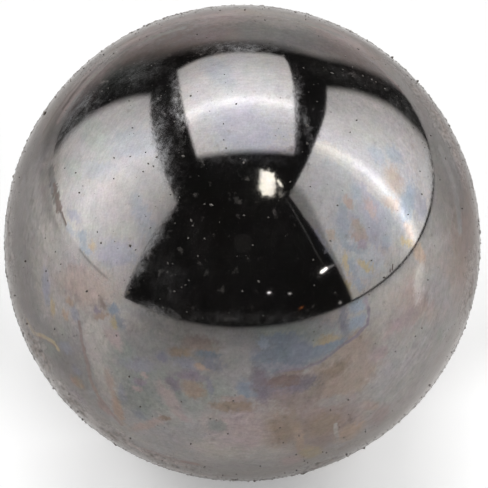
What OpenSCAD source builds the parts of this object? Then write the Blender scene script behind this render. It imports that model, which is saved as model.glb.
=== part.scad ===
// Polished steel ball: the loose rolling element of a large ball bearing,
// ground and lapped all over to one unbroken spherical surface.
//
// Frame: millimetres, +Z up, with the origin at the centre of the ball.
// The surface has no flat, hole, seam or mark, so no direction on it is special.

/* [Ball] */
// Nominal diameter, measured between any two opposite points
ball_diameter = 25.4; // [3:0.1:100]

/* [Hidden] */

// Segments that draw a full turn of the ball
ball_facets = 180;

// The solid ball, one piece of hardened chromium steel
module ball() {
    color("silver")
        sphere(d = ball_diameter, $fn = ball_facets);
}

ball();
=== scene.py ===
"""The looks of a polished steel ball: a mirror finish under a thin, smeared film of oil, with dust on it.

Metres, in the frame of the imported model: +Z up, the origin at the ball's centre. The camera looks along +Y
and down.
"""
import math
import random

import bpy
from mathutils import Matrix, Quaternion, Vector


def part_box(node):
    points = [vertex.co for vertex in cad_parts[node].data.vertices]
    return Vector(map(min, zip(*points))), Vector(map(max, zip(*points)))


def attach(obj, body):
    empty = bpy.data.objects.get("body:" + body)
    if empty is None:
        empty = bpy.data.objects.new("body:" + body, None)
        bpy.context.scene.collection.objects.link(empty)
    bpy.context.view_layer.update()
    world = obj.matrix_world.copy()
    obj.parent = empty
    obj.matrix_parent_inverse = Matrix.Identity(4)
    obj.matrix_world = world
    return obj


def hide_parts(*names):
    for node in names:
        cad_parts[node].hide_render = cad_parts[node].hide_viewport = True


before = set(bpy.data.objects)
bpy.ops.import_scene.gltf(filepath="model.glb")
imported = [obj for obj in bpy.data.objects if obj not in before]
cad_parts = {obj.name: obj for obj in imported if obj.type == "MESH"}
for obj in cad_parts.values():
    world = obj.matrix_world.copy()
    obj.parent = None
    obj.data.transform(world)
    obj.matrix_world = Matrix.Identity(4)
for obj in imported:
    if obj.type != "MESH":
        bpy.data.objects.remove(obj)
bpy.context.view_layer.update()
LOW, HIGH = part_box("ball")
RADIUS = (HIGH.z - LOW.z) / 2

# ---- The photograph's view: where its 488 x 488 pixels lie on the ball ----
PHOTO_SIDE = 488
BALL_CENTRE_PX = (242.24, 242.94)
BALL_RADIUS_PX = 238.0
CAMERA_RISE = math.radians(39.0)  # above the horizon
CAMERA_REACH = 18.5  # from the ball's centre, in ball radii
SENSOR = 36.0  # mm

TO_CAMERA = Vector((0.0, -math.cos(CAMERA_RISE), math.sin(CAMERA_RISE)))
VIEW_RIGHT = Vector((1.0, 0.0, 0.0))
VIEW_UP = TO_CAMERA.cross(VIEW_RIGHT)
CAMERA_AT = TO_CAMERA * CAMERA_REACH * RADIUS
FOCUS_PX = BALL_RADIUS_PX * math.sqrt(CAMERA_REACH**2 - 1)  # the focal length, in pixels
PX = RADIUS / BALL_RADIUS_PX  # a pixel of the photograph, on the ball


def sight(px, py):
    """The direction from the camera through a pixel of the photograph."""
    across = (px - BALL_CENTRE_PX[0]) / FOCUS_PX
    upward = (BALL_CENTRE_PX[1] - py) / FOCUS_PX
    return (VIEW_RIGHT * across + VIEW_UP * upward - TO_CAMERA).normalized()


def on_ball(px, py):
    """The unit vector from the ball's centre to the surface point that shows at a pixel."""
    ray = sight(px, py)
    middle = -CAMERA_AT.dot(ray)
    depth = middle**2 - CAMERA_AT.length_squared + RADIUS**2
    return (CAMERA_AT + ray * (middle - math.sqrt(max(depth, 0.0)))).normalized()


def mirrored(px, py):
    """The direction that the ball shows at a pixel, as a mirror."""
    return sight(px, py).reflect(on_ball(px, py))


# ---- Nodes ----
class Graph:
    """Builds one material's nodes. An input is a number, a colour, a vector or another node's output."""

    def __init__(self, name):
        self.material = bpy.data.materials.new(name)
        self.material.use_nodes = True
        self.tree = self.material.node_tree
        self.tree.nodes.clear()

    def node(self, kind, inputs=(), **settings):
        node = self.tree.nodes.new(kind)
        for name, value in settings.items():
            setattr(node, name, value)
        pairs = inputs.items() if isinstance(inputs, dict) else enumerate(inputs)
        for key, value in pairs:
            if isinstance(value, bpy.types.NodeSocket):
                self.tree.links.new(value, node.inputs[key])
            else:
                node.inputs[key].default_value = value
        return node

    def add(self, kind, inputs=(), output=0, **settings):
        return self.node(kind, inputs, **settings).outputs[output]

    def surface(self, shader):
        """Makes this shader the material's surface, and returns the material."""
        self.node("ShaderNodeOutputMaterial", {"Surface": shader})
        return self.material

    def emission(self, colour, strength):
        return self.add("ShaderNodeEmission", {"Color": colour, "Strength": strength})

    def math(self, operation, *inputs):
        return self.add("ShaderNodeMath", inputs, operation=operation)

    def times(self, *factors):
        product = factors[0]
        for factor in factors[1:]:
            product = self.math("MULTIPLY", product, factor)
        return product

    def plus(self, first, second):
        return self.math("ADD", first, second)

    def minus(self, first, second):
        return self.math("SUBTRACT", first, second)

    def most(self, first, second):
        return self.math("MAXIMUM", first, second)

    def scaled(self, vector, scale):
        return self.add("ShaderNodeVectorMath", {0: vector, "Scale": scale}, operation="SCALE")

    def vector(self, operation, *inputs):
        output = "Value" if operation in ("LENGTH", "DOT_PRODUCT", "DISTANCE") else "Vector"
        return self.add("ShaderNodeVectorMath", inputs, output, operation=operation)

    def dot(self, vector, direction):
        return self.vector("DOT_PRODUCT", vector, direction)

    def mix_colour(self, share, first, second):
        return self.add("ShaderNodeMix", {0: share, 6: first, 7: second}, 2, data_type="RGBA")

    def ramp(self, value, stops):
        """The grey at a value from 0 to 1, by straight lines through (position, grey) stops."""
        node = self.node("ShaderNodeValToRGB", [value])
        elements = node.color_ramp.elements
        while len(elements) < len(stops):
            elements.new(0.5)
        for element, (position, grey) in zip(elements, stops):
            element.position = position
            element.color = (grey, grey, grey, 1.0)
        return node.outputs[0]

    def curve(self, value, points):
        """The line through (value, result) points, level beyond its ends."""
        first, last = points[0][0], points[-1][0]
        low, high = min(p[1] for p in points), max(p[1] for p in points)
        stops = [((at - first) / (last - first), (result - low) / (high - low)) for at, result in points]
        return self.math("MULTIPLY_ADD", self.ramp(self.between(value, first, last), stops), high - low, low)

    def between(self, value, low, high, to_low=0.0, to_high=1.0):
        """A straight step from to_low at low to to_high at high, level beyond both."""
        return self.add("ShaderNodeMapRange", (value, low, high, to_low, to_high))

    def fade(self, value, low, high, to_low=0.0, to_high=1.0):
        """The same step with soft ends. It needs no clamp."""
        return self.add("ShaderNodeMapRange", (value, low, high, to_low, to_high),
                        interpolation_type="SMOOTHSTEP", clamp=False)


# ---- The studio around the ball: three lit cloths, a backdrop, a table and a few small lamps ----
STEEL = 0.27  # what clean steel gives back; the studio's brightness is written as the ball shows it
WALL = 0.6  # from the ball to each cloth and to the backdrop
FLOOR_Z = LOW.z
FLOOR_FRONT = -1.2
ROOM = 0.015  # the dark room around the stage


def stage_mesh(name, corners, material):
    """A flat stage piece."""
    mesh = bpy.data.meshes.new(name)
    mesh.from_pydata([tuple(c) for c in corners], [], [tuple(range(len(corners)))])
    mesh.materials.append(material)
    thing = bpy.data.objects.new(name, mesh)
    bpy.context.scene.collection.objects.link(thing)


def place_axes(g):
    """A stage point's X, Y and Z in metres."""
    return g.node("ShaderNodeSeparateXYZ", [g.add("ShaderNodeNewGeometry", output="Position")]).outputs


def lit_cloth(name, corners, build):
    """A cloth whose glow build(g, x, y, z) gives as the brightness that the ball shows."""
    g = Graph(name)
    seen = g.most(build(g, *place_axes(g)), ROOM * STEEL)
    stage_mesh(name, corners, g.surface(g.emission(seen, 1 / STEEL)))


def inside(g, distance, softness):
    """0 outside a border and 1 inside it, half-way on the border itself."""
    return g.fade(distance, -softness / 2, softness / 2)


def cloth_glow(g, along, across, glow, middle, height, borders, fades):
    """A lit cloth's brightness: glow runs along Y from the middle of its band, and height scales it across.

    borders are the front, back, low and high edges by place, and fades their widths in metres.
    """
    front, back, low, high = borders
    gaps = (g.minus(along, g.curve(across, front)), g.minus(g.curve(across, back), along),
            g.minus(across, g.curve(along, low)), g.minus(g.curve(along, high), across))
    level = g.times(g.curve(g.minus(along, g.curve(across, middle)), glow), g.curve(across, height))
    return g.times(level, *[inside(g, gap, softness) for gap, softness in zip(gaps, fades)])


RIGHT_GLOW = [
    (-0.75, 0.25), (-0.56, 0.28), (-0.5, 0.31), (-0.44, 0.33), (-0.35, 0.345), (-0.25, 0.365), (-0.17, 0.4),
    (-0.12, 0.44), (-0.08, 0.5), (-0.04, 0.58), (0.0, 0.67), (0.03, 0.67), (0.06, 0.64), (0.09, 0.615),
    (0.14, 0.59), (0.2, 0.57), (0.26, 0.55), (0.32, 0.5), (0.39, 0.43), (0.46, 0.38), (0.54, 0.34),
    (0.64, 0.29), (0.76, 0.22),
]
RIGHT_MIDDLE = [(0.0, -0.006), (0.12, 0.006), (0.3, 0.022), (0.55, 0.042), (0.9, 0.06)]
RIGHT_HEIGHT = [(0.0, 0.76), (0.06, 0.8), (0.12, 0.87), (0.2, 0.92), (0.3, 1.0), (0.7, 1.0), (1.0, 0.96)]
RIGHT_STREAK = [(-0.05, 0.0), (-0.025, 0.07), (0.0, 0.27), (0.012, 0.3), (0.03, 0.15), (0.06, 0.0)]
RIGHT_STREAK_HEIGHT = [(0.0, 0.9), (0.1, 1.25), (0.4, 1.1), (0.6, 0.55), (0.9, 0.15)]
RIGHT_FRONT = [(0.01, -0.497), (0.18, -0.533), (0.31, -0.559), (0.46, -0.597), (0.65, -0.625), (0.88, -0.66),
               (1.34, -0.7)]
# How wide the hem along the front border is, and how bright, by the depth in hem widths.
RIGHT_HEM = [(0.01, 0.015), (0.17, 0.026), (0.28, 0.036), (0.42, 0.052), (0.56, 0.085), (0.73, 0.14),
             (1.0, 0.2)]
RIGHT_HEM_LEVEL = [(0.0, 0.46), (0.75, 0.54), (1.25, 1.0)]
RIGHT_BACK = [(0.0, 0.515), (0.06, 0.54), (0.12, 0.572), (0.2, 0.605), (0.35, 0.632), (0.55, 0.675),
              (0.7, 0.71), (0.82, 0.745)]
RIGHT_LOW = [(-0.5, -0.003), (0.0, -0.002), (0.12, 0.0), (0.2, 0.001), (0.3, 0.001), (0.46, 0.001)]
RIGHT_HIGH = [(-0.7, 1.345), (-0.15, 1.085), (0.4, 0.872), (0.75, 0.81)]
RIGHT_FADES = (0.018, 0.14, 0.004, 0.045)


def right_glow(g, x, y, z):
    borders = (RIGHT_FRONT, RIGHT_BACK, RIGHT_LOW, RIGHT_HIGH)
    level = cloth_glow(g, y, z, RIGHT_GLOW, RIGHT_MIDDLE, RIGHT_HEIGHT, borders, RIGHT_FADES)
    streak = g.times(g.curve(g.minus(y, g.curve(z, RIGHT_MIDDLE)), RIGHT_STREAK),
                     g.curve(z, RIGHT_STREAK_HEIGHT),
                     inside(g, g.minus(z, RIGHT_LOW[1][1]), RIGHT_FADES[2]),
                     inside(g, g.minus(g.curve(y, RIGHT_HIGH), z), RIGHT_FADES[3]))
    depth = g.math("DIVIDE", g.minus(y, g.curve(z, RIGHT_FRONT)), g.curve(z, RIGHT_HEM))
    return g.plus(g.times(level, g.curve(depth, RIGHT_HEM_LEVEL)), streak)


LEFT_GLOW = [
    (-0.52, 0.2), (-0.44, 0.27), (-0.4, 0.31), (-0.34, 0.355), (-0.28, 0.39), (-0.22, 0.43), (-0.16, 0.48),
    (-0.1, 0.53), (-0.05, 0.58), (-0.01, 0.63), (0.015, 0.655), (0.05, 0.63), (0.09, 0.585), (0.15, 0.555),
    (0.21, 0.52), (0.27, 0.465), (0.33, 0.415), (0.4, 0.38), (0.48, 0.35), (0.56, 0.33), (0.66, 0.28),
]
LEFT_MIDDLE = [(0.0, 0.0), (0.12, 0.003), (0.3, 0.022), (0.7, 0.045)]
LEFT_HEIGHT = [(0.0, 0.8), (0.06, 0.84), (0.12, 0.91), (0.2, 0.98), (0.3, 1.0), (0.45, 0.98), (0.55, 0.95),
               (0.85, 0.92)]
LEFT_FRONT = [(0.0, -0.425), (0.06, -0.433), (0.12, -0.442), (0.2, -0.459), (0.3, -0.473), (0.4, -0.483),
              (0.55, -0.496), (0.7, -0.514), (0.9, -0.517)]
LEFT_BACK = [(0.0, 0.465), (0.06, 0.478), (0.12, 0.5), (0.2, 0.522), (0.3, 0.54), (0.4, 0.558),
             (0.55, 0.59), (0.74, 0.62)]
LEFT_LOW = [(-1.0, -0.02), (1.0, -0.019)]
LEFT_HIGH = [(-0.5, 0.898), (-0.27, 0.85), (0.11, 0.801), (0.34, 0.766), (0.6, 0.739)]
LEFT_FADES = (0.03, 0.13, 0.004, 0.02)
LEFT_FOOT = 0.015  # the dim foot ends between this height and LEFT_FOOT_TOP
LEFT_FOOT_TOP = [(0.1, 0.035), (0.3, 0.08)]
LEFT_FOOT_LEVEL = [(-0.3, 1.0), (0.0, 0.75)]
LEFT_SEAM = 0.025  # the height of a dark seam
LEFT_SEAM_HALF = (0.002, 0.009)  # from its middle, where it is darkest and where it ends
LEFT_SEAM_LEVEL = [(-0.34, 1.0), (-0.26, 0.55), (-0.07, 0.55), (-0.05, 1.0), (0.055, 1.0), (0.07, 0.5),
                   (0.13, 0.6), (0.16, 1.0)]


def left_glow(g, x, y, z):
    borders = (LEFT_FRONT, LEFT_BACK, LEFT_LOW, LEFT_HIGH)
    level = cloth_glow(g, y, z, LEFT_GLOW, LEFT_MIDDLE, LEFT_HEIGHT, borders, LEFT_FADES)
    foot = g.fade(z, LEFT_FOOT, g.curve(y, LEFT_FOOT_TOP), g.curve(y, LEFT_FOOT_LEVEL), 1.0)
    off_seam = g.math("ABSOLUTE", g.minus(z, LEFT_SEAM))
    return g.times(level, foot, g.between(off_seam, *LEFT_SEAM_HALF, g.curve(y, LEFT_SEAM_LEVEL), 1.0))


TOP_GLOW = [
    (-0.32, 0.37), (-0.26, 0.44), (-0.2, 0.47), (-0.17, 0.49), (-0.14, 0.51), (-0.11, 0.55), (-0.08, 0.6),
    (-0.05, 0.69), (-0.02, 0.88), (0.0, 0.94), (0.015, 0.89), (0.04, 0.73), (0.07, 0.65), (0.12, 0.6),
    (0.2, 0.55), (0.28, 0.48), (0.34, 0.43), (0.4, 0.385), (0.46, 0.365), (0.52, 0.32), (0.58, 0.28),
]
TOP_MIDDLE = [(-0.33, 0.157), (-0.2, 0.193), (-0.1, 0.217), (0.0, 0.229), (0.2, 0.237)]
TOP_HEIGHT = [(-0.3, 0.93), (-0.1, 0.98), (0.0, 1.0), (0.1, 0.98), (0.2, 0.94)]
TOP_FRONT = [(-0.22, -0.084), (-0.06, -0.08), (0.1, -0.07), (0.25, -0.054)]
TOP_BACK = [(-0.35, 0.66), (-0.22, 0.745), (-0.11, 0.777), (0.14, 0.795), (0.22, 0.79)]
TOP_LEFT = [(-0.105, -0.215), (0.05, -0.238), (0.24, -0.268), (0.53, -0.312), (0.69, -0.335)]
TOP_RIGHT = [(-0.06, 0.25), (0.21, 0.236), (0.47, 0.234), (0.66, 0.23), (0.8, 0.215)]
TOP_FADES = (0.055, 0.09, 0.02, 0.008)


def top_glow(g, x, y, z):
    borders = (TOP_FRONT, TOP_BACK, TOP_LEFT, TOP_RIGHT)
    return cloth_glow(g, y, x, TOP_GLOW, TOP_MIDDLE, TOP_HEIGHT, borders, TOP_FADES)


def upright(x, y_low, y_high, z_low, z_high):
    return [(x, y_low, z_low), (x, y_high, z_low), (x, y_high, z_high), (x, y_low, z_high)]


def level_sheet(z, x_low, x_high, y_low, y_high):
    return [(x_low, y_low, z), (x_high, y_low, z), (x_high, y_high, z), (x_low, y_high, z)]


BACKDROP_SIDE = 0.42  # X of its right edge
BACKDROP_TOP = 0.4
BACKDROP_GLOW = 0.20
# Its painted light from the left edge to the right, and from the table to the top.
BACKDROP_ACROSS = [(0.0, 0.2), (0.2, 0.42), (0.35, 0.68), (0.5, 0.93), (0.62, 1.0), (0.75, 0.9), (1.0, 0.75)]
BACKDROP_UP = [(0.0, 1.1), (0.18, 1.0), (0.35, 0.86), (0.6, 0.84), (0.72, 0.78), (0.85, 0.36), (1.0, 0.05)]
# The heights between which it falls dark, by X, and its slanting right border, X by height.
BACKDROP_DUSK = [(-0.6, -0.03), (-0.4, 0.0), (-0.3, 0.06), (-0.15, 0.2), (0.0, 0.34)]
BACKDROP_NIGHT = [(-0.6, 0.11), (-0.4, 0.19), (-0.3, 0.33), (-0.15, 0.46), (0.0, 0.52)]
BACKDROP_SLANT = [(0.0, 0.385), (0.04, 0.367), (0.12, 0.351), (0.2, 0.325), (0.24, 0.305), (0.29, 0.289),
                  (0.33, 0.265), (0.38, 0.2)]
SLANT_FADE = (-0.05, 0.03)
NIGHT_LEVEL, BESIDE_LEVEL = 0.1, 0.03  # how bright it stays there


def backdrop():
    """The grey backdrop behind the ball. It is no lamp but glows with painted light, bright low down in the
    middle.
    """
    g = Graph("backdrop")
    x, y, z = place_axes(g)
    wide = g.ramp(g.between(x, -WALL, BACKDROP_SIDE), BACKDROP_ACROSS)
    dark = g.between(z, g.curve(x, BACKDROP_DUSK), g.curve(x, BACKDROP_NIGHT), 1.0, NIGHT_LEVEL)
    slant = g.between(g.minus(x, g.curve(z, BACKDROP_SLANT)), *SLANT_FADE, 1.0, BESIDE_LEVEL)
    high = g.ramp(g.between(z, 0.0, BACKDROP_TOP), BACKDROP_UP)
    glow = g.most(g.times(wide, dark, slant, high), ROOM * STEEL / BACKDROP_GLOW)
    corners = [(-WALL, WALL, FLOOR_Z), (BACKDROP_SIDE, WALL, FLOOR_Z), (BACKDROP_SIDE, WALL, BACKDROP_TOP),
               (-WALL, WALL, BACKDROP_TOP)]
    stage_mesh("backdrop", corners, g.surface(g.emission(glow, BACKDROP_GLOW / STEEL)))


# The table's light goes by the heading from the ball, -1 in front and 1 behind, and by the reach in radii.
PAPER = (0.8, 0.8, 0.8)
FRONT_SHADE, LEFT_SHADE, RIGHT_SHADE = 0.4, 0.5, 0.12  # how much painted shade darkens three of its fields
ROOM_BEGINS = -0.4  # Y where painted shade begins to fade the table into the dark room
ROOM_LEVEL = 0.02
# What the side cloths throw on it, from the ball to the foot of the cloth, and how this goes by heading.
RIGHT_SPILL = [(0.0, 0.0), (0.02, 0.03), (0.036, 0.075), (0.06, 0.06), (0.17, 0.12), (0.35, 0.12),
               (0.6, 0.07), (1.0, 0.02)]
RIGHT_SIDES = [(-0.9, 0.0), (-0.6, 0.7), (-0.4, 1.0), (0.15, 1.0), (0.45, 0.0)]
LEFT_SPILL = [(0.0, 0.0), (0.03, 0.005), (0.06, 0.04), (0.08, 0.065), (0.11, 0.06), (0.17, 0.1), (0.4, 0.11),
              (0.6, 0.12), (1.0, 0.15)]
LEFT_SIDES = [(-0.9, 0.0), (-0.6, 0.7), (-0.4, 1.0), (0.15, 1.0), (0.45, 0.8), (0.62, 0.65), (0.7, 0.0)]
# The light close to the ball, by reach and by heading; a bright ring in it; and the light far behind.
NEAR_REACH = [(0.7, 0.24), (1.1, 0.3), (1.4, 0.26), (2.0, 0.15), (4.0, 0.0)]
NEAR_HEADING = [(-1.0, 0.9), (-0.7, 1.0), (0.1, 1.0), (0.5, 0.7), (1.0, 1.0)]
RING_HEADING = [(-1.0, 0.4), (-0.6, 0.9), (-0.15, 1.0), (0.15, 0.5), (0.4, 0.2)]
RING_LEFT, RING_RIGHT = 0.27, 0.10
FAR_HEADING = [(0.72, 0.0), (0.84, 0.17)]
WHITE = 0.22  # of the table behind the ball, where the camera looks


def darker(g, share, *fields):
    """1 outside a field and 1 - share in it. The field is where all of the given ones overlap."""
    return g.minus(1.0, g.times(*fields, share))


def paper_colour_with_painted_shade(g, x, y, reach, heading):
    """The table's colour, with painted shade: dimmer in front, in two corners behind the ball and towards the
    dark room.
    """
    front = darker(g, FRONT_SHADE, g.fade(heading, -0.9, -0.55, 1.0, 0.0), g.fade(reach, 3, 9))
    left = darker(g, LEFT_SHADE, g.fade(x, -7 * RADIUS, -1.5 * RADIUS, 1.0, 0.0),
                  g.fade(y, 1.5 * RADIUS, 7 * RADIUS))
    right = darker(g, RIGHT_SHADE, g.fade(x, RADIUS, 2 * RADIUS), g.fade(y, 1.5 * RADIUS, 2.3 * RADIUS))
    beyond = g.between(y, FLOOR_FRONT, ROOM_BEGINS, ROOM_LEVEL, 1.0)
    return g.vector("MULTIPLY", g.times(front, left, right, beyond), PAPER)


def table_glow(g, x, y, reach, heading):
    """The light that the table adds: what the cloths spill on it, and the white that the camera sees."""
    right = g.times(g.curve(g.between(x, 0.0, WALL), RIGHT_SPILL), g.curve(heading, RIGHT_SIDES))
    left = g.times(g.curve(g.between(x, 0.0, -WALL), LEFT_SPILL), g.curve(heading, LEFT_SIDES))
    spill = g.math("DIVIDE", g.plus(right, left), STEEL)
    white = g.times(g.fade(y, -0.3 * RADIUS, 1.2 * RADIUS), g.fade(reach, 3.5, 8.0, WHITE, 0.0),
                    g.fade(g.math("ABSOLUTE", x), 1.15 * RADIUS, 2.0 * RADIUS, 1.0, 0.0))
    near = g.times(g.curve(reach, NEAR_REACH), g.curve(heading, NEAR_HEADING))
    ring = g.times(g.fade(reach, 0.3, 0.75), g.fade(reach, 1.0, 1.6, 1.0, 0.0),
                   g.curve(heading, RING_HEADING),
                   g.between(x, -0.3 * RADIUS, 0.5 * RADIUS, RING_LEFT, RING_RIGHT))
    far = g.times(g.fade(reach, 5, 11), g.curve(heading, FAR_HEADING))
    return g.plus(g.plus(spill, far), g.most(white, g.plus(near, ring)))


def table():
    """A pale table, nearly white where the camera looks, with painted light round the ball and painted shade
    dimming it towards the dark room in front.
    """
    g = Graph("table")
    x, y, z = place_axes(g)
    flat = g.add("ShaderNodeCombineXYZ", (x, y, 0.0))
    reach = g.math("DIVIDE", g.vector("LENGTH", flat), RADIUS)
    heading = g.math("DIVIDE", y, g.times(g.most(reach, 0.1), RADIUS))
    paper = g.add("ShaderNodeBsdfDiffuse", {"Color": paper_colour_with_painted_shade(g, x, y, reach, heading)})
    path = g.node("ShaderNodeLightPath").outputs
    shown = g.most(g.most(path["Is Camera Ray"], path["Is Glossy Ray"]), path["Is Transmission Ray"])
    light = g.emission((1.0, 1.0, 1.0, 1.0), g.times(table_glow(g, x, y, reach, heading), shown))
    material = g.surface(g.add("ShaderNodeAddShader", [paper, light]))
    stage_mesh("table", level_sheet(FLOOR_Z, -2 * WALL, 2 * WALL, FLOOR_FRONT, WALL), material)


LAMP_CORNERS = 28
LAMP_ROUNDNESS = 0.7  # 1 for an ellipse, towards 0 for a rectangle
LAMP_GAP = 0.02  # how far nearer than a cloth a lamp stands


def lamp(name, start_px, end_px, width_px, seen, tint=(1.0, 1.0, 1.0), ragged=0.0):
    """A small light that shows in the ball as a bar between two pixels. It faces the ball."""
    rng = random.Random(name)
    start, end = mirrored(*start_px), mirrored(*end_px)
    middle = (start + end).normalized()
    along = (end - start).length
    aside = middle.cross(end - start).normalized()
    wide = along * width_px / math.dist(start_px, end_px)
    corners = []
    for corner in range(LAMP_CORNERS):
        turn = math.tau * corner / LAMP_CORNERS
        x, y = (math.copysign(abs(c)**LAMP_ROUNDNESS, c) for c in (math.cos(turn), math.sin(turn)))
        offset = (end - start) * (x / 2) + aside * (y * wide / 2)
        corners.append((middle + offset * (1 + rng.uniform(-ragged, ragged))) * (WALL - LAMP_GAP))
    g = Graph(name)
    stage_mesh(name, corners, g.surface(g.emission((*tint, 1.0), seen / STEEL)))


def lamps():
    """The flash and the small lamps, each from one pixel to another, with its width and its brightness."""
    warm = (1.0, 0.985, 0.89)
    lamp("flash", (266.4, 170.5), (267.4, 197.0), 15, 0.95, warm, 0.16)
    lamp("flash_side", (277.0, 180.0), (281.5, 187.5), 2.2, 1.05, warm)
    lamp("small_lamp", (319.5, 272.5), (326.5, 267.5), 2.6, 2.2)
    lamp("small_lamp_tail", (327.0, 267.5), (333.5, 264.5), 2.0, 0.14)
    lamp("far_lamp_left", (267.4, 292.3), (270.8, 292.0), 1.4, 1.8)
    lamp("far_lamp_right", (287.8, 293.2), (290.6, 293.0), 1.2, 0.7)
    lamp("amber_lamp", (298.5, 308.0), (303.0, 306.0), 1.8, 0.12, (1.0, 0.35, 0.12))
    # the camera's lens is no lamp: its faint glow is painted light
    lamp("lens", (234.0, 243.0), (252.0, 243.0), 18, 0.0075)
    lamp("dot_lamp", (338.4, 301.0), (340.2, 303.0), 2.4, 0.2)


POLE_COURSE = [(-0.794, 1.473), (-0.757, 0.893), (-0.714, 0.503), (-0.681, 0.367), (-0.66, 0.3)]  # Y, Z
POLE_HALF = 0.0035
POLE_GAP = 0.002
POLE_GLOW = 0.11
# the pole's painted light, from its foot to its top
POLE_PAINTED_LIGHT = [(0.0, 0.0), (0.12, 0.5), (0.5, 1.0), (0.9, 0.8), (1.0, 0.3)]


def pole():
    """The thin pale pole that stands in front of the right cloth. It glows with painted light, dim at its
    foot and brightest about half-way up.
    """
    g = Graph("pole")
    x, y, z = place_axes(g)
    colour = g.ramp(g.between(z, 0.3, 1.45), POLE_PAINTED_LIGHT)
    corners = [(WALL - POLE_GAP, y - POLE_HALF, z) for y, z in POLE_COURSE]
    corners += [(WALL - POLE_GAP, y + POLE_HALF, z) for y, z in reversed(POLE_COURSE)]
    stage_mesh("pole", corners, g.surface(g.emission(colour, POLE_GLOW / STEEL)))


def dark_room():
    """What lies beyond the stage."""
    world = bpy.data.worlds.new("dark_room")
    bpy.context.scene.world = world
    world.use_nodes = True
    background = world.node_tree.nodes["Background"]
    background.inputs[0].default_value = (ROOM, ROOM, ROOM, 1.0)
    background.inputs[1].default_value = 1.0


lit_cloth("right_cloth", upright(WALL, -0.73, 0.8, FLOOR_Z, 1.4), right_glow)
lit_cloth("left_cloth", upright(-WALL, -0.55, 0.66, FLOOR_Z, 0.95), left_glow)
lit_cloth("top_cloth", level_sheet(WALL, -0.38, 0.28, -0.13, 0.84), top_glow)
lamps()
backdrop()
table()
pole()
dark_room()


# ---- The camera ----
def camera():
    data = bpy.data.cameras.new("camera")
    data.sensor_width = SENSOR
    data.lens = SENSOR * FOCUS_PX / PHOTO_SIDE
    data.shift_x = (PHOTO_SIDE / 2 - BALL_CENTRE_PX[0]) / PHOTO_SIDE
    data.shift_y = (BALL_CENTRE_PX[1] - PHOTO_SIDE / 2) / PHOTO_SIDE
    data.clip_start = 0.01
    data.clip_end = 20.0
    thing = bpy.data.objects.new("camera", data)
    bpy.context.scene.collection.objects.link(thing)
    bpy.context.scene.camera = thing
    thing.location = CAMERA_AT
    thing.rotation_euler = TO_CAMERA.to_track_quat("Z", "Y").to_euler()


camera()

# ---- The ball ----
FACE_STEPS = 96


def ball_mesh(name):
    """A cube blown up into a sphere: six square grids whose points lie exactly on the ball."""
    mesh = bpy.data.meshes.new(name)
    places, found, faces = [], {}, []

    def vertex(point):
        key = tuple(round(c * FACE_STEPS) for c in point)
        if key not in found:
            found[key] = len(places)
            bent = Vector([math.tan(c * math.pi / 4) for c in point])
            places.append(bent.normalized() * RADIUS)
        return found[key]

    for axis in range(3):
        for side in (-1, 1):
            for i in range(FACE_STEPS):
                for j in range(FACE_STEPS):
                    corners = []
                    for a, b in ((0, 0), (1, 0), (1, 1), (0, 1)):
                        point = [0, 0, 0]
                        point[axis] = side
                        point[(axis + 1) % 3] = 2 * (i + a) / FACE_STEPS - 1
                        point[(axis + 2) % 3] = 2 * (j + b) / FACE_STEPS - 1
                        corners.append(vertex(point))
                    faces.append(corners if side > 0 else corners[::-1])
    mesh.from_pydata([tuple(p) for p in places], [], faces)
    mesh.shade_smooth()
    thing = bpy.data.objects.new(name, mesh)
    bpy.context.scene.collection.objects.link(thing)
    return thing


# ---- The film of oil on the steel ----
# The film's hues, as what it lets through against bare steel. A smear gives one of them with its own level.
GREY, BEIGE, PINK, RUST = (1.04, 0.99, 0.97), (1.08, 0.99, 0.93), (1.14, 0.94, 0.92), (1.26, 0.92, 0.86)
AMBER, GOLD, BROWN = (1.25, 0.97, 0.8), (1.24, 1.03, 0.73), (1.17, 0.95, 0.88)
PURPLE, LILAC, BLUE, GREEN = (1.06, 0.92, 1.04), (0.98, 0.96, 1.07), (0.89, 0.98, 1.14), (1.0, 1.03, 0.97)
PALE_BLUE, PALE_PINK = (0.97, 0.985, 1.045), (1.05, 0.985, 0.965)
SKY, PEACH, TAN = (0.93, 0.985, 1.09), (1.15, 0.975, 0.88), (1.19, 0.97, 0.85)

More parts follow.
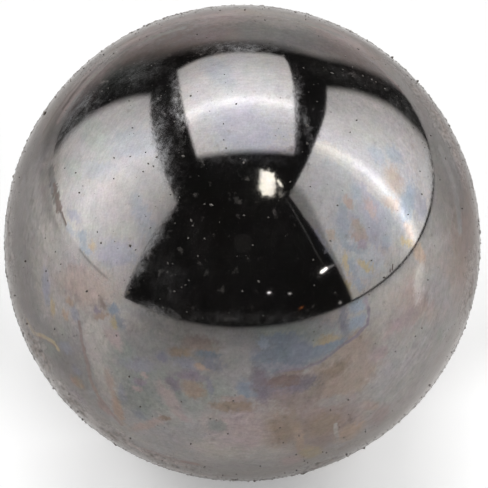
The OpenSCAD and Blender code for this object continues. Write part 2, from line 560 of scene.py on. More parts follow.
# Smears of the film, each from one pixel of the photograph to another: (from x, from y, to x, to y, width,
# hue, level). Later ones lie on top.
WIDE_SMEARS = [
    # the upper half
    (335, 120, 395, 225, 120, (1.01, 0.985, 1.01), 1.0), (240, 70, 240, 140, 110, (1.02, 0.985, 1.0), 1.04),
    (125, 115, 95, 225, 100, (1.03, 0.985, 0.98), 1.0), (348, 232, 404, 208, 46, PALE_BLUE, 0.95),
    (92, 90, 150, 52, 28, GREEN, 0.9), (118, 58, 180, 36, 22, BROWN, 0.86),
    (150, 42, 240, 26, 34, BROWN, 0.88), (240, 26, 330, 32, 34, GREY, 0.97),
    (330, 36, 394, 74, 26, BROWN, 0.88), (392, 72, 422, 108, 18, GREY, 0.93),
    (60, 112, 108, 62, 18, PINK, 1.08), (325, 108, 390, 130, 40, GREY, 0.88),
    (222, 118, 270, 140, 50, LILAC, 1.0),
    # the lower right: blue, dark purple, amber and brown fields
    (262, 350, 342, 346, 44, BLUE, 0.83), (252, 386, 326, 386, 30, PURPLE, 0.64),
    (276, 428, 358, 424, 58, BROWN, 0.76), (306, 396, 374, 350, 46, TAN, 0.8),
    (378, 400, 436, 344, 50, GREY, 0.93), (382, 306, 402, 332, 44, BEIGE, 0.97),
    (412, 300, 444, 282, 44, BROWN, 0.97),
    # the lower left
    (46, 352, 96, 404, 46, GREY, 0.74), (122, 372, 216, 398, 54, GREEN, 0.77),
    (152, 352, 222, 366, 34, GREY, 0.76), (66, 282, 104, 292, 40, BROWN, 0.96),
    (190, 440, 275, 458, 44, BEIGE, 1.08), (215, 425, 262, 432, 44, PINK, 0.95),
    (200, 336, 255, 345, 26, GREY, 1.09), (116, 342, 168, 350, 36, GREY, 0.8),
    (18, 200, 22, 290, 26, GREY, 0.9), (472, 190, 470, 300, 26, BROWN, 0.95),
    # along the rim
    (67, 96, 117, 51, 11, PINK, 1.36), (117, 51, 183, 22, 11, PINK, 1.36), (183, 21, 250, 13, 14, PINK, 1.3),
    (250, 13, 313, 24, 14, BEIGE, 1.3), (313, 24, 366, 48, 12, PINK, 1.32),
    (212, 472, 290, 472, 22, GREY, 1.06), (34, 335, 108, 432, 24, GREY, 0.7),
    (10, 225, 34, 340, 22, GREY, 0.76), (24, 135, 12, 230, 20, GREY, 0.8),
    (92, 388, 132, 430, 22, GREY, 0.8), (124, 424, 204, 436, 22, GREY, 0.87),
    (136, 428, 188, 452, 20, GREY, 0.9), (434, 110, 462, 190, 22, GREY, 0.97),
    (400, 418, 466, 318, 18, GREY, 0.92),
]
LOWER_RIGHT = [
    # the amber field
    (330, 398, 372, 362, 30, TAN, 0.8), (334, 362, 368, 332, 20, TAN, 0.86),
    (324, 378, 346, 362, 12, AMBER, 0.64), (316, 394, 328, 376, 9, BROWN, 0.64),
    (272, 400, 318, 402, 18, BROWN, 0.7), (270, 430, 294, 429, 34, AMBER, 0.68),
    (300, 412, 312, 430, 14, BROWN, 0.7), (312, 425, 336, 425, 22, AMBER, 0.66),
    (298, 432, 302, 452, 9, AMBER, 0.84), (345, 440, 354, 426, 14, AMBER, 0.9),
    (318, 405, 348, 398, 10, BEIGE, 0.88), (350, 414, 352, 423, 4, BROWN, 0.62),
    (374, 420, 387, 411, 15, PINK, 0.8), (364, 404, 377, 407, 9, BROWN, 0.9),
    (303, 456, 318, 450, 12, GOLD, 0.95), (284, 463, 300, 458, 9, PINK, 1.1),
    # the blue patch and its dark foot
    (262, 330, 330, 332, 18, GREEN, 1.14), (256, 360, 302, 360, 24, BLUE, 0.7),
    (298, 354, 340, 342, 16, BLUE, 0.77), (262, 338, 302, 338, 10, BLUE, 0.98),
    (290, 347, 314, 346, 11, BLUE, 0.84), (312, 341, 338, 334, 15, GREEN, 1.12),
    (320, 343, 338, 338, 11, GOLD, 1.02), (258, 364, 302, 368, 8, LILAC, 0.8),
    (314, 353, 344, 341, 8, BLUE, 0.86), (350, 325, 366, 321, 16, BLUE, 1.0),
    (351, 307, 366, 304, 13, BLUE, 0.95), (342, 306, 346, 334, 9, LILAC, 0.8),
    (366, 299, 370, 312, 6, PURPLE, 0.85), (259, 343, 267, 343, 9, BLUE, 1.22),
    (256, 370, 264, 397, 22, PURPLE, 0.57), (290, 388, 314, 380, 15, PURPLE, 0.58),
    (268, 382, 298, 379, 13, RUST, 0.5), (283, 374, 304, 371, 5, BROWN, 0.68),
    (242, 384, 249, 398, 16, BLUE, 0.79), (243, 354, 247, 375, 12, GREY, 0.97),
    # towards the right rim
    (386, 334, 412, 314, 12, PINK, 0.95), (372, 358, 386, 350, 12, PINK, 0.86),
    (406, 320, 419, 311, 13, PINK, 0.88), (439, 330, 441, 341, 5, GREEN, 0.84),
    (421, 264, 419, 298, 11, BEIGE, 1.55), (430, 272, 446, 302, 26, GREY, 1.02),
    (370, 332, 381, 298, 17, BEIGE, 1.0), (414, 246, 424, 260, 10, AMBER, 1.12),
]
LOWER_LEFT = [
    (130, 395, 153, 408, 32, GREEN, 0.7), (122, 362, 152, 366, 14, LILAC, 0.83),
    (122, 385, 124, 403, 6, PALE_BLUE, 0.76), (137, 411, 143, 418, 7, PALE_BLUE, 0.74),
    (133, 380, 145, 383, 6, PURPLE, 0.72), (133, 388, 141, 389, 5, PINK, 0.95),
    (141, 373, 148, 377, 5, PINK, 0.95), (112, 342, 130, 354, 18, GREEN, 0.8),
    (128, 310, 166, 328, 14, GREY, 0.84), (187, 342, 214, 348, 18, BROWN, 0.78),
    (172, 351, 189, 353, 11, AMBER, 0.69), (198, 353, 219, 357, 9, BLUE, 0.68),
    (158, 356, 167, 358, 9, LILAC, 0.7), (176, 362, 200, 366, 12, LILAC, 0.8),
    (196, 366, 207, 368, 7, AMBER, 0.96), (170, 377, 177, 391, 13, PURPLE, 0.58),
    (177, 374, 204, 378, 8, PURPLE, 0.66), (186, 384, 200, 395, 17, AMBER, 0.74),
    (208, 380, 212, 396, 7, LILAC, 0.74), (206, 362, 222, 366, 12, LILAC, 0.7),
    (212, 406, 254, 407, 11, AMBER, 0.68), (220, 399, 252, 399, 6, BROWN, 0.85),
    (232, 426, 262, 440, 24, PINK, 0.97), (210, 423, 222, 428, 12, GREEN, 0.74),
    (160, 385, 178, 412, 13, PINK, 0.93), (130, 430, 166, 420, 7, BROWN, 0.88),
    (160, 418, 171, 418, 4, AMBER, 0.6), (175, 413, 190, 421, 6, PINK, 0.95),
    # the pink flow that runs down to the rim
    (94, 322, 96, 352, 24, BEIGE, 1.15), (95, 350, 102, 384, 15, BEIGE, 1.12),
    (102, 382, 116, 412, 11, BEIGE, 0.98), (107, 328, 119, 346, 13, PINK, 1.02),
    (107, 372, 112, 392, 8, TAN, 0.9), (114, 396, 123, 424, 7, AMBER, 0.8),
    (99, 400, 108, 414, 6, BROWN, 0.74), (74, 377, 80, 387, 8, AMBER, 0.76),
    (70, 389, 78, 401, 9, PURPLE, 0.7), (73, 367, 80, 372, 6, LILAC, 0.75),
    # the mottled patch below the left cloth
    (66, 299, 73, 305, 6, AMBER, 0.84), (73, 308, 75, 319, 8, LILAC, 0.88),
    (64, 310, 66, 319, 5, AMBER, 0.92), (97, 307, 99, 315, 7, PURPLE, 0.71),
    (95, 318, 110, 313, 7, AMBER, 0.79), (101, 297, 106, 310, 6, BROWN, 0.62),
    (111, 306, 117, 313, 9, BLUE, 0.73), (116, 317, 122, 329, 9, PALE_BLUE, 0.78),
    (112, 318, 114, 328, 5, GOLD, 0.9), (52, 299, 53, 316, 5, GOLD, 0.95),
    (45, 270, 46, 303, 8, LILAC, 0.92), (39, 346, 53, 350, 8, GREEN, 0.8),
    (61, 346, 71, 349, 8, LILAC, 0.85),
]
RIGHT_CLOTH = [
    (318, 146, 346, 160, 16, BEIGE, 1.05), (362, 182, 380, 240, 22, LILAC, 0.94),
    (344, 158, 400, 218, 9, (1.03, 1.0, 0.975), 1.1), (356, 268, 376, 262, 30, PALE_BLUE, 1.04),
    (341, 202, 345, 246, 11, (0.93, 0.99, 1.09), 0.82), (345, 246, 363, 250, 8, SKY, 0.84),
    (345, 198, 352, 207, 7, BROWN, 0.84), (350, 214, 357, 221, 9, LILAC, 0.85),
    (353, 185, 362, 201, 10, SKY, 0.92), (352, 233, 367, 239, 10, BROWN, 0.74),
    (353, 222, 362, 232, 10, PEACH, 0.76), (358, 242, 365, 246, 6, PURPLE, 0.76),
    (366, 200, 375, 218, 9, PINK, 0.95), (368, 233, 381, 245, 9, LILAC, 0.88),
    (384, 236, 388, 247, 9, SKY, 0.9), (373, 149, 382, 161, 13, SKY, 0.88),
    (389, 148, 399, 162, 12, SKY, 0.85), (389, 169, 400, 192, 17, PEACH, 0.86),
    (385, 201, 401, 208, 12, PEACH, 0.88), (413, 184, 404, 217, 14, BLUE, 0.86),
    (418, 193, 424, 217, 12, LILAC, 0.85), (406, 225, 412, 237, 9, PEACH, 1.0),
    (403, 240, 411, 245, 7, GOLD, 0.95), (328, 231, 334, 238, 9, PEACH, 0.93),
    (344, 255, 350, 272, 6, GOLD, 0.95), (350, 261, 354, 273, 7, SKY, 0.9),
    (354, 279, 362, 289, 8, SKY, 0.94), (360, 262, 373, 270, 9, GOLD, 0.95),
    (345, 280, 349, 293, 6, GOLD, 0.9), (312, 228, 331, 262, 9, LILAC, 1.1),
]
LEFT_AND_TOP = [
    (84, 120, 102, 150, 24, GREEN, 0.95), (114, 140, 152, 146, 30, PALE_BLUE, 0.94),
    (84, 168, 113, 172, 18, PALE_BLUE, 0.94), (66, 160, 80, 176, 14, GREEN, 0.93),
    (110, 182, 146, 214, 40, PALE_PINK, 1.0), (134, 196, 150, 236, 18, PALE_BLUE, 0.95),
    (70, 212, 79, 218, 10, LILAC, 0.84), (80, 233, 86, 243, 9, SKY, 0.82), (82, 246, 89, 253, 7, SKY, 0.9),
    (92, 243, 94, 251, 7, GOLD, 0.93), (100, 252, 131, 254, 28, LILAC, 0.97),
    (66, 226, 76, 236, 7, PALE_BLUE, 0.92), (62, 116, 84, 88, 5, PALE_PINK, 1.34),
    (83, 86, 98, 69, 8, PINK, 1.45), (97, 66, 116, 51, 5, BEIGE, 1.5), (122, 46, 148, 33, 5, PINK, 1.4),
    (236, 12, 300, 17, 6, BEIGE, 1.3), (86, 102, 99, 93, 6, BROWN, 0.7), (158, 39, 192, 21, 7, BROWN, 0.84),
    (184, 38, 232, 29, 15, PINK, 0.98), (238, 9, 256, 14, 5, PEACH, 1.15),
    (210, 62, 228, 84, 22, PALE_BLUE, 0.96),
]
SMEARS = WIDE_SMEARS + LOWER_RIGHT + LOWER_LEFT + RIGHT_CLOTH + LEFT_AND_TOP

# Strokes, each a thin line of film through some pixels: (pixels, width, hue, level).
STROKES = [
    ([(79, 322), (83, 343), (87, 362), (90, 378), (98, 396), (108, 408), (122, 425)], 2.6, BROWN, 0.72),
    ([(369, 308), (367, 324), (356, 337), (345, 344), (330, 355), (318, 363), (300, 369), (274, 373)], 2.6,
     PURPLE, 0.7),
    ([(335, 424), (337, 449)], 2.2, BEIGE, 1.05),
    ([(27, 320), (33, 333), (45, 337), (54, 342), (58, 349)], 2.4, GOLD, 1.1),
    ([(31, 325), (36, 336), (46, 340), (55, 346)], 1.2, BROWN, 0.74),
    # streaks along the rim
    ([(58, 122), (70, 103), (84, 87)], 2.5, PINK, 1.5), ([(87, 83), (100, 70), (118, 55)], 2.5, BEIGE, 1.6),
    ([(64, 107), (82, 83), (102, 63)], 2.0, BROWN, 0.62),
    ([(44, 132), (60, 106), (78, 83)], 2.0, BROWN, 0.72),
    ([(112, 50), (140, 35), (176, 23)], 2.0, BROWN, 0.78),
    ([(446, 122), (462, 156), (471, 196)], 2.0, BROWN, 0.68),
    ([(425, 84), (450, 122), (466, 160)], 1.8, BEIGE, 1.35),
    ([(108, 61), (140, 43), (182, 28)], 3.0, BEIGE, 1.28),
    ([(148, 30), (184, 18), (216, 12)], 4.0, PINK, 0.95),
    ([(118, 42), (150, 26), (182, 15)], 3.0, GREY, 1.25),
    ([(430, 100), (452, 140), (466, 185), (472, 230)], 6.0, BROWN, 0.92),
    ([(441, 150), (455, 190), (460, 230)], 5.0, GREY, 1.2),
    ([(420, 90), (445, 130), (458, 165)], 3.0, PINK, 1.12),
    ([(42, 150), (36, 180), (38, 202)], 7.0, PALE_PINK, 1.12),
    ([(51, 170), (54, 190), (57, 200)], 6.0, GREY, 0.66), ([(54, 184), (60, 210)], 4.0, BROWN, 0.5),
    ([(62, 213), (66, 226)], 1.6, BROWN, 0.5), ([(389, 264), (390, 273)], 1.5, BROWN, 0.3),
    ([(393, 265), (392, 271)], 1.3, BROWN, 0.3), ([(97, 107), (109, 102)], 3.0, GREY, 0.45),
    ([(60, 384), (69, 396), (79, 408)], 2.5, GREY, 1.6),
    ([(88, 414), (97, 424), (108, 431)], 3.0, PALE_PINK, 1.2),
    ([(104, 430), (118, 436), (136, 444)], 6.0, GREY, 0.8),
    ([(128, 443), (146, 453), (164, 460), (184, 465)], 2.5, PINK, 1.35),
    ([(150, 462), (180, 470), (226, 479)], 2.5, PINK, 1.3),
    ([(146, 450), (166, 457), (196, 464)], 3.0, RUST, 0.78),
    ([(168, 468), (196, 474), (226, 476)], 2.5, BROWN, 0.8),
    ([(276, 15), (310, 24), (342, 37)], 2.5, GREY, 1.15),
    ([(354, 48), (380, 68), (402, 92)], 2.5, PINK, 1.18),
]

# Dried haze on the steel: (from x, from y, to x, to y, width, strength), the strength at most 1.
HAZE = [
    (154, 92, 170, 190, 30, 0.62), (171, 62, 180, 150, 12, 0.5), (168, 106, 184, 122, 12, 0.9),
    (172, 205, 130, 288, 16, 0.6), (150, 250, 185, 310, 44, 0.24), (185, 195, 215, 300, 34, 0.09),
    (110, 84, 160, 66, 26, 0.52), (138, 300, 182, 317, 12, 0.5), (190, 160, 292, 160, 12, 0.22),
    (297, 65, 299, 150, 12, 0.36), (303, 104, 311, 146, 9, 0.5), (310, 62, 405, 95, 20, 0.22),
    (418, 120, 434, 200, 14, 0.55), (386, 88, 426, 128, 22, 0.28), (60, 120, 100, 84, 18, 0.4),
    (170, 318, 330, 318, 14, 0.3), (250, 170, 284, 200, 22, 0.22), (52, 96, 130, 34, 40, 0.55),
    (120, 40, 230, 10, 34, 0.45), (250, 12, 330, 26, 24, 0.3), (340, 34, 430, 100, 30, 0.4),
    (430, 96, 474, 200, 34, 0.45), (10, 220, 40, 110, 34, 0.4), (50, 145, 108, 74, 26, 0.6),
    (108, 84, 160, 60, 22, 0.48), (190, 48, 280, 46, 12, 0.6), (410, 120, 432, 200, 8, 0.35),
    (14, 290, 60, 400, 26, 0.25), (90, 425, 220, 474, 18, 0.4), (290, 470, 400, 415, 14, 0.3),
    (430, 380, 476, 260, 16, 0.3),
]

# Dull, dried crust near the rim, in the same way.
CRUST = [
    (398, 52, 479, 190, 10, 0.9), (479, 250, 462, 335, 10, 0.9), (22, 323, 51, 377, 12, 1.0),
    (51, 377, 92, 422, 12, 1.0), (92, 422, 143, 455, 11, 0.9), (128, 449, 215, 478, 10, 0.8),
    (290, 476, 352, 454, 8, 0.9), (8, 180, 10, 300, 7, 0.7), (22, 135, 44, 105, 8, 0.7),
    (60, 90, 120, 44, 8, 0.4),
]


def tinted(hue, level):
    """This hue at this level, as a node takes it."""
    return (*[part * level for part in hue], 1.0)


# ---- Noises and places on the ball ----
WIPED = (VIEW_RIGHT * 0.45 + VIEW_UP * 0.9).normalized()  # the cloth that wiped the ball ran this way
MARKS_CENTRE_PX = (300, 262)  # of the marks that run in circles
RING_SHARE = 0.05  # how short a turn of the circles counts against their width


def noise(g, place, size_px, detail=2.0, output=0):
    """A noise whose features are about this many pixels across. Output 1 is its colour."""
    inputs = {"Vector": place, "Scale": 1 / (size_px * PX), "Detail": detail}
    return g.add("ShaderNodeTexNoise", inputs, output)


def streaks(g, place, direction, share, size_px, detail=2.0):
    """A noise whose features are 1 / share times longer in one direction."""
    aside = g.scaled(direction * (1 - share), g.dot(place, direction))
    return noise(g, g.vector("SUBTRACT", place, aside), size_px, detail)


def spread(g, value, low, high):
    """A noise's middle range stretched to low and high."""
    return g.between(value, 0.3, 0.7, low, high)


def rings(g, place, centre_px):
    """Coordinates in which a noise's features run in circles round a point of the ball."""
    pole = on_ball(*centre_px)
    side = pole.cross(VIEW_UP).normalized()
    over = pole.cross(side)
    x, y, z = (g.dot(place, axis / RADIUS) for axis in (side, over, pole))
    reach = g.times(g.math("ARCCOSINE", z), RADIUS)
    turn = g.times(g.math("ARCTAN2", y, x), RING_SHARE * RADIUS)
    return g.add("ShaderNodeCombineXYZ", (reach, turn, 0.0))


def shift(g, place, size_px, detail, amount):
    """A noise as a shift of up to about a quarter of the amount each way."""
    return g.scaled(g.vector("SUBTRACT", noise(g, place, size_px, detail, 1), (0.5, 0.5, 0.5)), amount)


FOLD = 2.2  # how strongly noise carries the far half away
FRAY = 12 * PX  # how far a smear's edge is drawn out the way the ball was wiped
DRIFT = 7 * PX  # how far it wanders in every direction


def film_place(g, place):
    """Where a point of the ball lies on the film: calm and ragged coordinates, and those to lay smears by.

    The last fold the far half onto the photographed one, and noise carries it well away from a mirror image.
    Ragged edges are drawn out the way the ball was wiped.
    """
    behind = g.math("MINIMUM", g.dot(place, TO_CAMERA), 0.0)
    folded = g.vector("SUBTRACT", place, g.scaled(TO_CAMERA * 2, behind))
    far = g.vector("SUBTRACT", noise(g, place, 120, 1.0, 1), (0.5, 0.5, 0.5))
    folded = g.vector("MULTIPLY_ADD", g.scaled(far, behind), (FOLD, FOLD, FOLD), folded)
    drift = shift(g, place, 16, 2.0, DRIFT)
    frayed = streaks(g, place, WIPED, 0.15, 2.6)
    frayed = g.scaled(WIPED, g.times(g.minus(frayed, 0.5), FRAY))
    rough = g.vector("ADD", frayed, g.vector("ADD", drift, shift(g, place, 5, 3.0, DRIFT)))
    return g.vector("ADD", place, drift), g.vector("ADD", place, rough), g.vector("ADD", folded, rough)


# ---- Smears and strokes ----
FILM_DEPTH = 0.7  # in ball radii: how far a smear reaches below the surface, so that it stays on its own side
SPREAD = 1.55  # how far a smear's torn edge reaches, in half widths
STROKE_SOFTNESS = 0.40  # of a stroke's edge, as a share of its half width
LEAST_FACING = 0.25  # a line near the rim looks foreshortened, so it is drawn wider, four times at most
CALM_PX = 4  # a thinner stroke keeps its course, and a wider one is torn


def smear_place(ends_px, width_px):
    """Where a smear lies: its middle, its turn and its half sizes along, across and through the surface."""
    start_px, end_px = ends_px[:2], ends_px[2:]
    x, y = ((start_px[0] + end_px[0]) / 2, (start_px[1] + end_px[1]) / 2)
    length_px = math.dist(start_px, end_px)
    across = ((start_px[1] - end_px[1]) / length_px, (end_px[0] - start_px[0]) / length_px)
    sides = [on_ball(x + k * across[0] * width_px / 2, y + k * across[1] * width_px / 2) for k in (-1, 1)]
    out = on_ball(x, y)
    along = on_ball(*end_px) - on_ball(*start_px)
    aside = out.cross(along).normalized()
    turn = Matrix((aside.cross(out), aside, out)).transposed().to_euler()
    spare = width_px / length_px  # the ends are round
    sizes = (along.length / 2 * (1 + 0.5 * spare), (sides[1] - sides[0]).length / 2, FILM_DEPTH)
    return out * RADIUS, turn, [size * RADIUS for size in sizes]


def torn_edge(g, place, softness):
    """Where in a smear's depth its edge begins and ends: streaks and grain tear it open here and there."""
    wiped = streaks(g, place, WIPED, 0.1, 2.4, 2.0)
    blots = noise(g, place, 5, 4.0)
    begin = g.math("MULTIPLY_ADD", wiped, 0.45, -0.2)
    begin = g.plus(begin, g.math("MULTIPLY_ADD", blots, 0.6, -0.25))
    begin = g.most(begin, 0.02)
    return begin, g.plus(begin, softness)


def smear_mask(g, place, torn, ends_px, width_px, strength=1.0):
    middle, turn, sizes = smear_place(ends_px, width_px)
    sizes = [size * SPREAD for size in sizes]
    local = g.add("ShaderNodeMapping", (place, middle, turn, sizes), vector_type="TEXTURE")
    # 0 at the border and 1 in the middle
    depth = g.add("ShaderNodeTexGradient", [local], "Fac", gradient_type="SPHERICAL")
    return g.fade(depth, *torn, 0.0, strength)


def stroke_mask(g, place, pixels, width_px):
    """A line's mask, from the distance to the nearest of its straight pieces."""
    points = [on_ball(*pixel) * RADIUS for pixel in pixels]
    nearest = None
    for start, end in zip(points, points[1:]):
        run = end - start
        off = g.vector("SUBTRACT", place, start)
        share = g.math("MINIMUM", g.dot(off, run / run.length_squared), 1.0)
        share = g.most(share, 0.0)
        gap = g.vector("DISTANCE", off, g.scaled(run, share))
        nearest = gap if nearest is None else g.math("MINIMUM", nearest, gap)
    facing = sum(on_ball(*pixel).dot(TO_CAMERA) for pixel in pixels) / len(pixels)
    half = width_px / 2 * PX / max(facing, LEAST_FACING)
    return g.fade(nearest, half * (1 + STROKE_SOFTNESS), half * (1 - STROKE_SOFTNESS))


# ---- Haze and crust ----
HAZE_COLOUR = (0.36, 0.36, 0.37, 1.0)
HAZE_METAL = 0.76  # how metallic the steel still is under thick haze
HAZE_ROUGH = 0.24
GRIME_HAZE = 0.45  # how thick the haze lies in the grime near the outline
RIND_DARK = (0.09, 0.077, 0.07, 1.0)
RIND_LIGHT = (0.38, 0.33, 0.305, 1.0)
RIND_METAL, RIND_ROUGH = -0.7, 0.50  # what the crust adds to the steel's
RIND_NEAR = 0.7  # how much crust there is on the outline itself


def haze_amount(g, place, where, grime):
    """How thick the dried haze lies, from 0 to 1."""
    haze = g.between(noise(g, place, 60, 2.0), 0.4, 0.75, 0.01, 0.08)
    torn = torn_edge(g, place, 1.0)
    haze = g.most(haze, g.times(grime, GRIME_HAZE))
    for *ends, width, strength in HAZE:
        haze = g.most(haze, smear_mask(g, where, torn, ends, width, strength))
    speckle = spread(g, noise(g, place, 3.2, 1.0), 0.75, 1.25)
    clouds = spread(g, streaks(g, place, WIPED, 0.5, 8, 3.0), 0.45, 1.6)
    return g.times(haze, g.times(speckle, clouds))


def crust_amount(g, place, where):
    """How much of the steel a dull, dried crust hides: patches along the belt round the ball, from 0 to 1."""
    off_belt = g.math("ABSOLUTE", g.dot(place, TO_CAMERA))
    near = g.between(off_belt, 0.03 * RADIUS, 0.26 * RADIUS, RIND_NEAR, 0.0)
    torn = torn_edge(g, place, 0.8)
    for *ends, width, strength in CRUST:
        near = g.most(near, smear_mask(g, where, torn, ends, width, strength))
    patches = streaks(g, place, TO_CAMERA, 0.5, 11, 6.0)
    amount = g.plus(near, g.math("MULTIPLY_ADD", patches, 2.0, -1.0))
    return g.between(amount, 0.25, 1.15)


# ---- The steel's material ----
CLEAN_ROUGH = 0.052
BASE_FILM = (tinted(BEIGE, 1.06), tinted(GREY, 0.97))
MOTTLES = ((26, 0.1), (9, 0.09), (3, 0.06))  # size in pixels and strength of the mottling in the film's hue
DULL_MIDDLE_PX = (240, 170)  # the patina is weak round this pixel
BUMP_HEIGHT = 4e-6
# How far each kind of mark makes the steel darker and brighter.
STRAIGHT_MARKS = (0.965, 1.035)
CIRCLES = (-0.03, 0.03)
GRAIN = CROSSED = (-0.045, 0.045)
CLOUDS = (-0.06, 0.06)
PATINA = (-0.14, 0.14)
STAINS = (-0.24, 0.2)
EDGE_TINT = (0.63, 0.6, 0.58, 1.0)  # what the steel gives back at a glancing angle


def film_colour(g, place, calm, ragged, where):
    """The film's hue and level: its smears, its strokes and a fine mottling."""
    veil = spread(g, noise(g, place, 70, 3.0), 0.0, 1.0)
    film = g.mix_colour(veil, *BASE_FILM)
    torn = torn_edge(g, place, 0.62)
    for *ends, width, hue, level in SMEARS:
        film = g.mix_colour(smear_mask(g, where, torn, ends, width), film, tinted(hue, level))
    for pixels, width, hue, level in STROKES:
        line = stroke_mask(g, calm if width < CALM_PX else ragged, pixels, width)
        film = g.mix_colour(line, film, tinted(hue, level))
    for size, amount in MOTTLES:
        mottle = shift(g, place, size, 2.0, amount)
        film = g.vector("MULTIPLY", film, g.vector("ADD", mottle, (1.0, 1.0, 1.0)))
    return film


def mark_level(g, place, off_belt):
    """How much brighter or darker wipe marks, grain, patina and the belt's stains make the steel."""
    straight = streaks(g, place, WIPED, 0.08, 2.2)
    circles = noise(g, rings(g, place, MARKS_CENTRE_PX), 3.2)
    grain = noise(g, place, 2.0, 2.0)
    level = g.plus(spread(g, straight, *STRAIGHT_MARKS), spread(g, circles, *CIRCLES))
    level = g.plus(level, spread(g, grain, *GRAIN))
    level = g.plus(level, spread(g, noise(g, place, 13, 3.0), *CLOUDS))
    dull = g.between(g.dot(place, on_ball(*DULL_MIDDLE_PX) / RADIUS), 0.62, 0.84, 1.0, 0.3)
    dull = g.times(dull, spread(g, noise(g, place, 45, 2.0), 0.15, 1.25))
    patina = g.times(dull, spread(g, streaks(g, place, WIPED, 0.6, 5, 5.0), *PATINA))
    belt = g.between(off_belt, 0.10 * RADIUS, 0.42 * RADIUS, 1.0, 0.0)
    stains = spread(g, streaks(g, place, TO_CAMERA, 0.6, 7, 5.0), *STAINS)
    level = g.plus(level, g.plus(patina, g.times(belt, stains)))
    for heading in (VIEW_RIGHT, VIEW_UP):
        level = g.plus(level, spread(g, streaks(g, place, heading, 0.1, 1.8), *CROSSED))
    return level


def steel_material():
    """Polished steel under the film, with haze and crust on it.

    The nodes are made in the order in which they are worked out. Cycles keeps few values at a time.
    """
    g = Graph("oiled_steel")
    place = g.add("ShaderNodeTexCoord", output="Object")
    calm, ragged, where = film_place(g, place)
    off_belt = g.math("ABSOLUTE", g.dot(place, TO_CAMERA))
    grime = g.between(off_belt, 0.14 * RADIUS, 0.50 * RADIUS, 1.0, 0.0)
    haze = haze_amount(g, place, where, grime)
    film = film_colour(g, place, calm, ragged, where)
    level = mark_level(g, place, off_belt)
    shade = g.vector("MULTIPLY", film, g.scaled((STEEL, STEEL, STEEL), level))
    shade = g.mix_colour(haze, shade, HAZE_COLOUR)
    metal = g.between(haze, 0.0, 1.0, 1.0, HAZE_METAL)
    rough = g.between(haze, 0.0, 1.0, CLEAN_ROUGH, HAZE_ROUGH)
    rind = crust_amount(g, place, where)
    flecks = spread(g, streaks(g, place, TO_CAMERA, 0.4, 4, 4.0), 0.0, 1.0)
    shade = g.mix_colour(rind, shade, g.mix_colour(flecks, RIND_DARK, RIND_LIGHT))
    metal = g.math("MULTIPLY_ADD", rind, RIND_METAL, metal)
    rough = g.math("MULTIPLY_ADD", rind, RIND_ROUGH, rough)
    strength = g.math("MULTIPLY_ADD", haze, 0.9, 0.06)
    bump = g.add("ShaderNodeBump", {"Strength": strength, "Distance": BUMP_HEIGHT,
                                    "Height": noise(g, place, 3.0, 1.0)})
    looks = {"Base Color": shade, "Metallic": metal, "Roughness": rough, "Normal": bump,
             "Specular Tint": EDGE_TINT}
    return g.surface(g.add("ShaderNodeBsdfPrincipled", looks))


# ---- Dust ----
def turned(rng, up):
    """A random direction along the surface."""
    heading = up.orthogonal().normalized()
    heading.rotate(Quaternion(up, rng.uniform(0, math.tau)))
    return heading


def rock(rng, up, size, lift, stretch):
    """An irregular grain: (points, faces) of a knocked-about octahedron that lies flat on the ball."""
    middle = up * (RADIUS + lift * size)
    aside = turned(rng, up)
    over = up.cross(aside)
    arms = (aside * stretch, -aside * stretch, over, -over, up * 0.8, -up * 0.8)
    points = [middle + arm * (size / 2 * rng.uniform(0.7, 1.3)) for arm in arms]
    faces = [(0, 2, 4), (2, 1, 4), (1, 3, 4), (3, 0, 4), (2, 0, 5), (1, 2, 5), (3, 1, 5), (0, 3, 5)]
    return points, faces


FIBRE_STEPS = 8
FIBRE_SIDES = 3


def fibre(rng, up, width, length):
    """A short bent thread that lies on the ball: (points, faces)."""
    heading = turned(rng, up)
    bend = rng.uniform(-0.35, 0.35)
    points, faces = [], []
    at = up * RADIUS - heading * (length / 2)
    for ring in range(FIBRE_STEPS + 1):
        outward = at.normalized()
        at = outward * (RADIUS + width * 0.3)
        side = outward.cross(heading).normalized()
        for spoke in range(FIBRE_SIDES):
            angle = math.tau * spoke / FIBRE_SIDES
            points.append(at + (side * math.cos(angle) + outward * math.sin(angle)) * (width / 2))
        heading.rotate(Quaternion(outward, bend))
        at = at + heading * (length / FIBRE_STEPS)
    for ring in range(FIBRE_STEPS):
        for spoke in range(FIBRE_SIDES):
            a, b = FIBRE_SIDES * ring + spoke, FIBRE_SIDES * ring + (spoke + 1) % FIBRE_SIDES
            faces += [(a, b, b + FIBRE_SIDES), (a, b + FIBRE_SIDES, a + FIBRE_SIDES)]
    last = FIBRE_SIDES * FIBRE_STEPS
    return points, faces + [(2, 1, 0), (last, last + 1, last + 2)]


def joined(name, bits, material):
    """One piece made of many small closed meshes."""
    places, faces = [], []
    for points, bit_faces in bits:
        first = len(places)
        places += [tuple(p) for p in points]
        faces += [tuple(first + i for i in face) for face in bit_faces]
    mesh = bpy.data.meshes.new(name)
    mesh.from_pydata(places, [], faces)
    mesh.materials.append(material)
    thing = bpy.data.objects.new(name, mesh)
    bpy.context.scene.collection.objects.link(thing)
    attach(thing, "root")


def dust_material(name, dark, light):
    """Matt dust whose colour wanders between dark and light from grain to grain."""
    g = Graph(name)
    place = g.add("ShaderNodeTexCoord", output="Object")
    shade = g.mix_colour(spread(g, noise(g, place, 12, 2.0), 0.0, 1.0), tinted(dark, 1), tinted(light, 1))
    rough = spread(g, noise(g, place, 3), 0.75, 0.95)
    bump = g.add("ShaderNodeBump", {"Strength": 0.4, "Distance": 1e-5, "Height": noise(g, place, 1.5)})
    looks = {"Base Color": shade, "Roughness": rough, "Normal": bump}
    return g.surface(g.add("ShaderNodeBsdfPrincipled", looks))


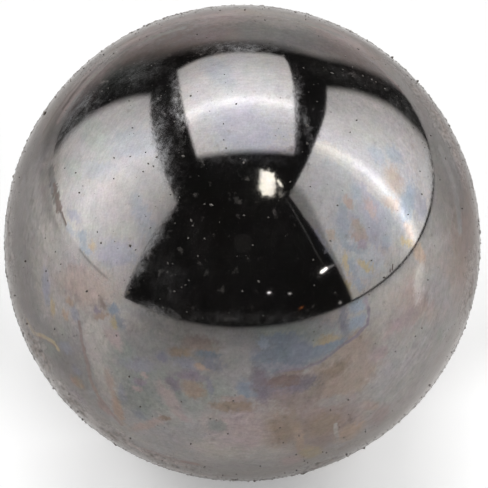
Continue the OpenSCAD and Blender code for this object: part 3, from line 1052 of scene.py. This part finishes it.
# Specks that the photograph shows one by one: (pixel x, pixel y, size in pixels).
DARK_SPECKS = [
    (129.9, 245.6, 3.4), (101, 243, 2), (86.7, 291.5, 2.6), (25.2, 261.3, 2.4), (46, 271, 2),
    (26.9, 323.8, 2.4), (129.3, 377, 2.6), (140.1, 406.8, 2), (181.4, 401.8, 2), (190.6, 443.9, 2.2),
    (216.3, 420.2, 1.8), (227.9, 433.7, 1.8), (130.4, 438.5, 2.6), (114, 157.8, 2), (113.7, 178.7, 2),
    (79.3, 192.7, 2), (156.8, 156.9, 2.6), (148.2, 163.6, 2), (143.1, 171.7, 2), (75.7, 172.8, 2),
    (138.8, 196.2, 1.8), (145.6, 152.3, 1.8), (190.6, 95.8, 2.4), (356.8, 120.2, 2.2), (384.5, 277.5, 3),
    (128, 292, 5), (45, 113, 4), (31.5, 132.7, 2.6), (25, 139.6, 2.6), (393.7, 56, 4), (419.4, 79.6, 4),
    (423.3, 87.5, 2.6), (449.2, 125.7, 2.6), (364.8, 448.8, 4), (303.5, 474.6, 4), (254.6, 482.4, 3),
    (115.4, 445.1, 2.6), (33.6, 359.5, 2.6),
]
LIGHT_SPECKS = [
    (332, 73.3, 2.6), (362.9, 76.1, 2), (371.6, 79.4, 2), (384.6, 88.6, 1.8), (356, 64.3, 1.8),
    (317, 101.6, 2), (307.3, 125.8, 4), (307.3, 143.7, 3), (406, 108, 1.8), (290, 181.9, 2),
    (411.6, 79.6, 1.8), (94, 91.8, 2), (183.3, 156, 3), (243.7, 162.7, 2), (211.3, 204.9, 3),
    (204.5, 204.1, 2.4), (191.4, 220.7, 3), (192.7, 225.8, 2), (204.5, 238.6, 2), (252.7, 245.2, 2),
    (244, 215.4, 2), (268.3, 217.4, 2), (172.6, 263.6, 2), (168, 263.3, 2), (197.9, 255.9, 2),
    (181.7, 287.3, 2), (185.3, 285, 1.8), (258.6, 281.4, 2),
]
SPECK_SIZE = 0.85  # of the size that the photograph shows, which its blur widens
BARE_DUST = 0.05  # how dusty the clean steel is
GRAIN_LIFT = 0.1  # how far above the surface a grain's middle lies, in grain sizes
SPECK_LIFT = 0.15


def speck_bits(rng, specks):
    bits = []
    for px, py, size_px in specks:
        bits.append(rock(rng, on_ball(px, py), SPECK_SIZE * size_px * PX, SPECK_LIFT, rng.uniform(1.0, 1.9)))
    return bits


def dusty_places():
    """Where dust clings to the haze: (direction, reach in ball radii, share of the grains that stay)."""
    places = []
    for *ends, width, strength in HAZE:
        start, end = ends[:2], ends[2:]
        steps = max(1, round(math.dist(start, end) / width))
        for step in range(steps + 1):
            spot = [a + (b - a) * step / steps for a, b in zip(start, end)]
            places.append((on_ball(*spot), width / 2 / BALL_RADIUS_PX, 0.5 * strength))
    return places


DUSTY = dusty_places()


def dust_share(up):
    """How dusty the ball is in this direction, from 0 to 1."""
    return max([BARE_DUST] + [share for middle, reach, share in DUSTY if (up - middle).length < reach])


def anywhere(rng):
    """A random direction, each as likely as the others."""
    return Vector([rng.gauss(0, 1) for axis in range(3)]).normalized()


def scattered(rng, count, low_px, high_px):
    """Grains strewn over the whole ball, most of them small and most where the haze is thick."""
    bits = []
    while len(bits) < count:
        up = anywhere(rng)
        if rng.random() < dust_share(up):
            size = (low_px + (high_px - low_px) * rng.random()**3) * PX
            bits.append(rock(rng, up, size, GRAIN_LIFT, rng.uniform(1.0, 1.8)))
    return bits


def crust(rng, count, low_px, high_px):
    """Grains in a belt round the ball, thickest along the outline that the photograph shows."""
    bits = []
    for grain in range(count):
        angle = rng.uniform(0, math.tau)
        around = VIEW_RIGHT * math.cos(angle) + VIEW_UP * math.sin(angle)
        up = (around + TO_CAMERA * rng.gauss(0.03, 0.09)).normalized()
        size = (low_px + (high_px - low_px) * rng.random()**2) * PX
        bits.append(rock(rng, up, size, SPECK_LIFT, rng.uniform(1.0, 1.8)))
    return bits


def fibres(rng, count):
    """Threads on the far side. The photograph shows none in front."""
    bits = []
    for thread in range(count):
        up = anywhere(rng)
        if up.dot(TO_CAMERA) > 0:
            up.negate()
        bits.append(fibre(rng, up, rng.uniform(0.8, 1.3) * PX, rng.uniform(6, 16) * PX))
    return bits


def dust():
    """All that lies loose on the ball. After each count come the smallest and the largest size in pixels."""
    rng = random.Random(7)
    pale = dust_material("pale_dust", (0.09, 0.083, 0.078), (0.21, 0.195, 0.18))
    dark = dust_material("dark_dust", (0.05, 0.045, 0.04), (0.22, 0.19, 0.165))
    joined("pale_grains", scattered(rng, 1000, 0.6, 1.9) + speck_bits(rng, LIGHT_SPECKS), pale)
    joined("dark_grains", scattered(rng, 50, 0.7, 2.0) + speck_bits(rng, DARK_SPECKS), dark)
    crumbs = crust(rng, 2600, 0.6, 1.7) + crust(rng, 200, 1.6, 2.8)
    joined("crust", crumbs, dust_material("crust", (0.22, 0.2, 0.19), (0.62, 0.58, 0.55)))
    joined("fibres", fibres(rng, 8), dust_material("lint", (0.1, 0.09, 0.09), (0.3, 0.28, 0.26)))


ball = ball_mesh("polished_ball")
ball.data.materials.append(steel_material())
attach(ball, "root")
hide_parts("ball")
dust()

bpy.context.scene.view_settings.view_transform = "Standard"
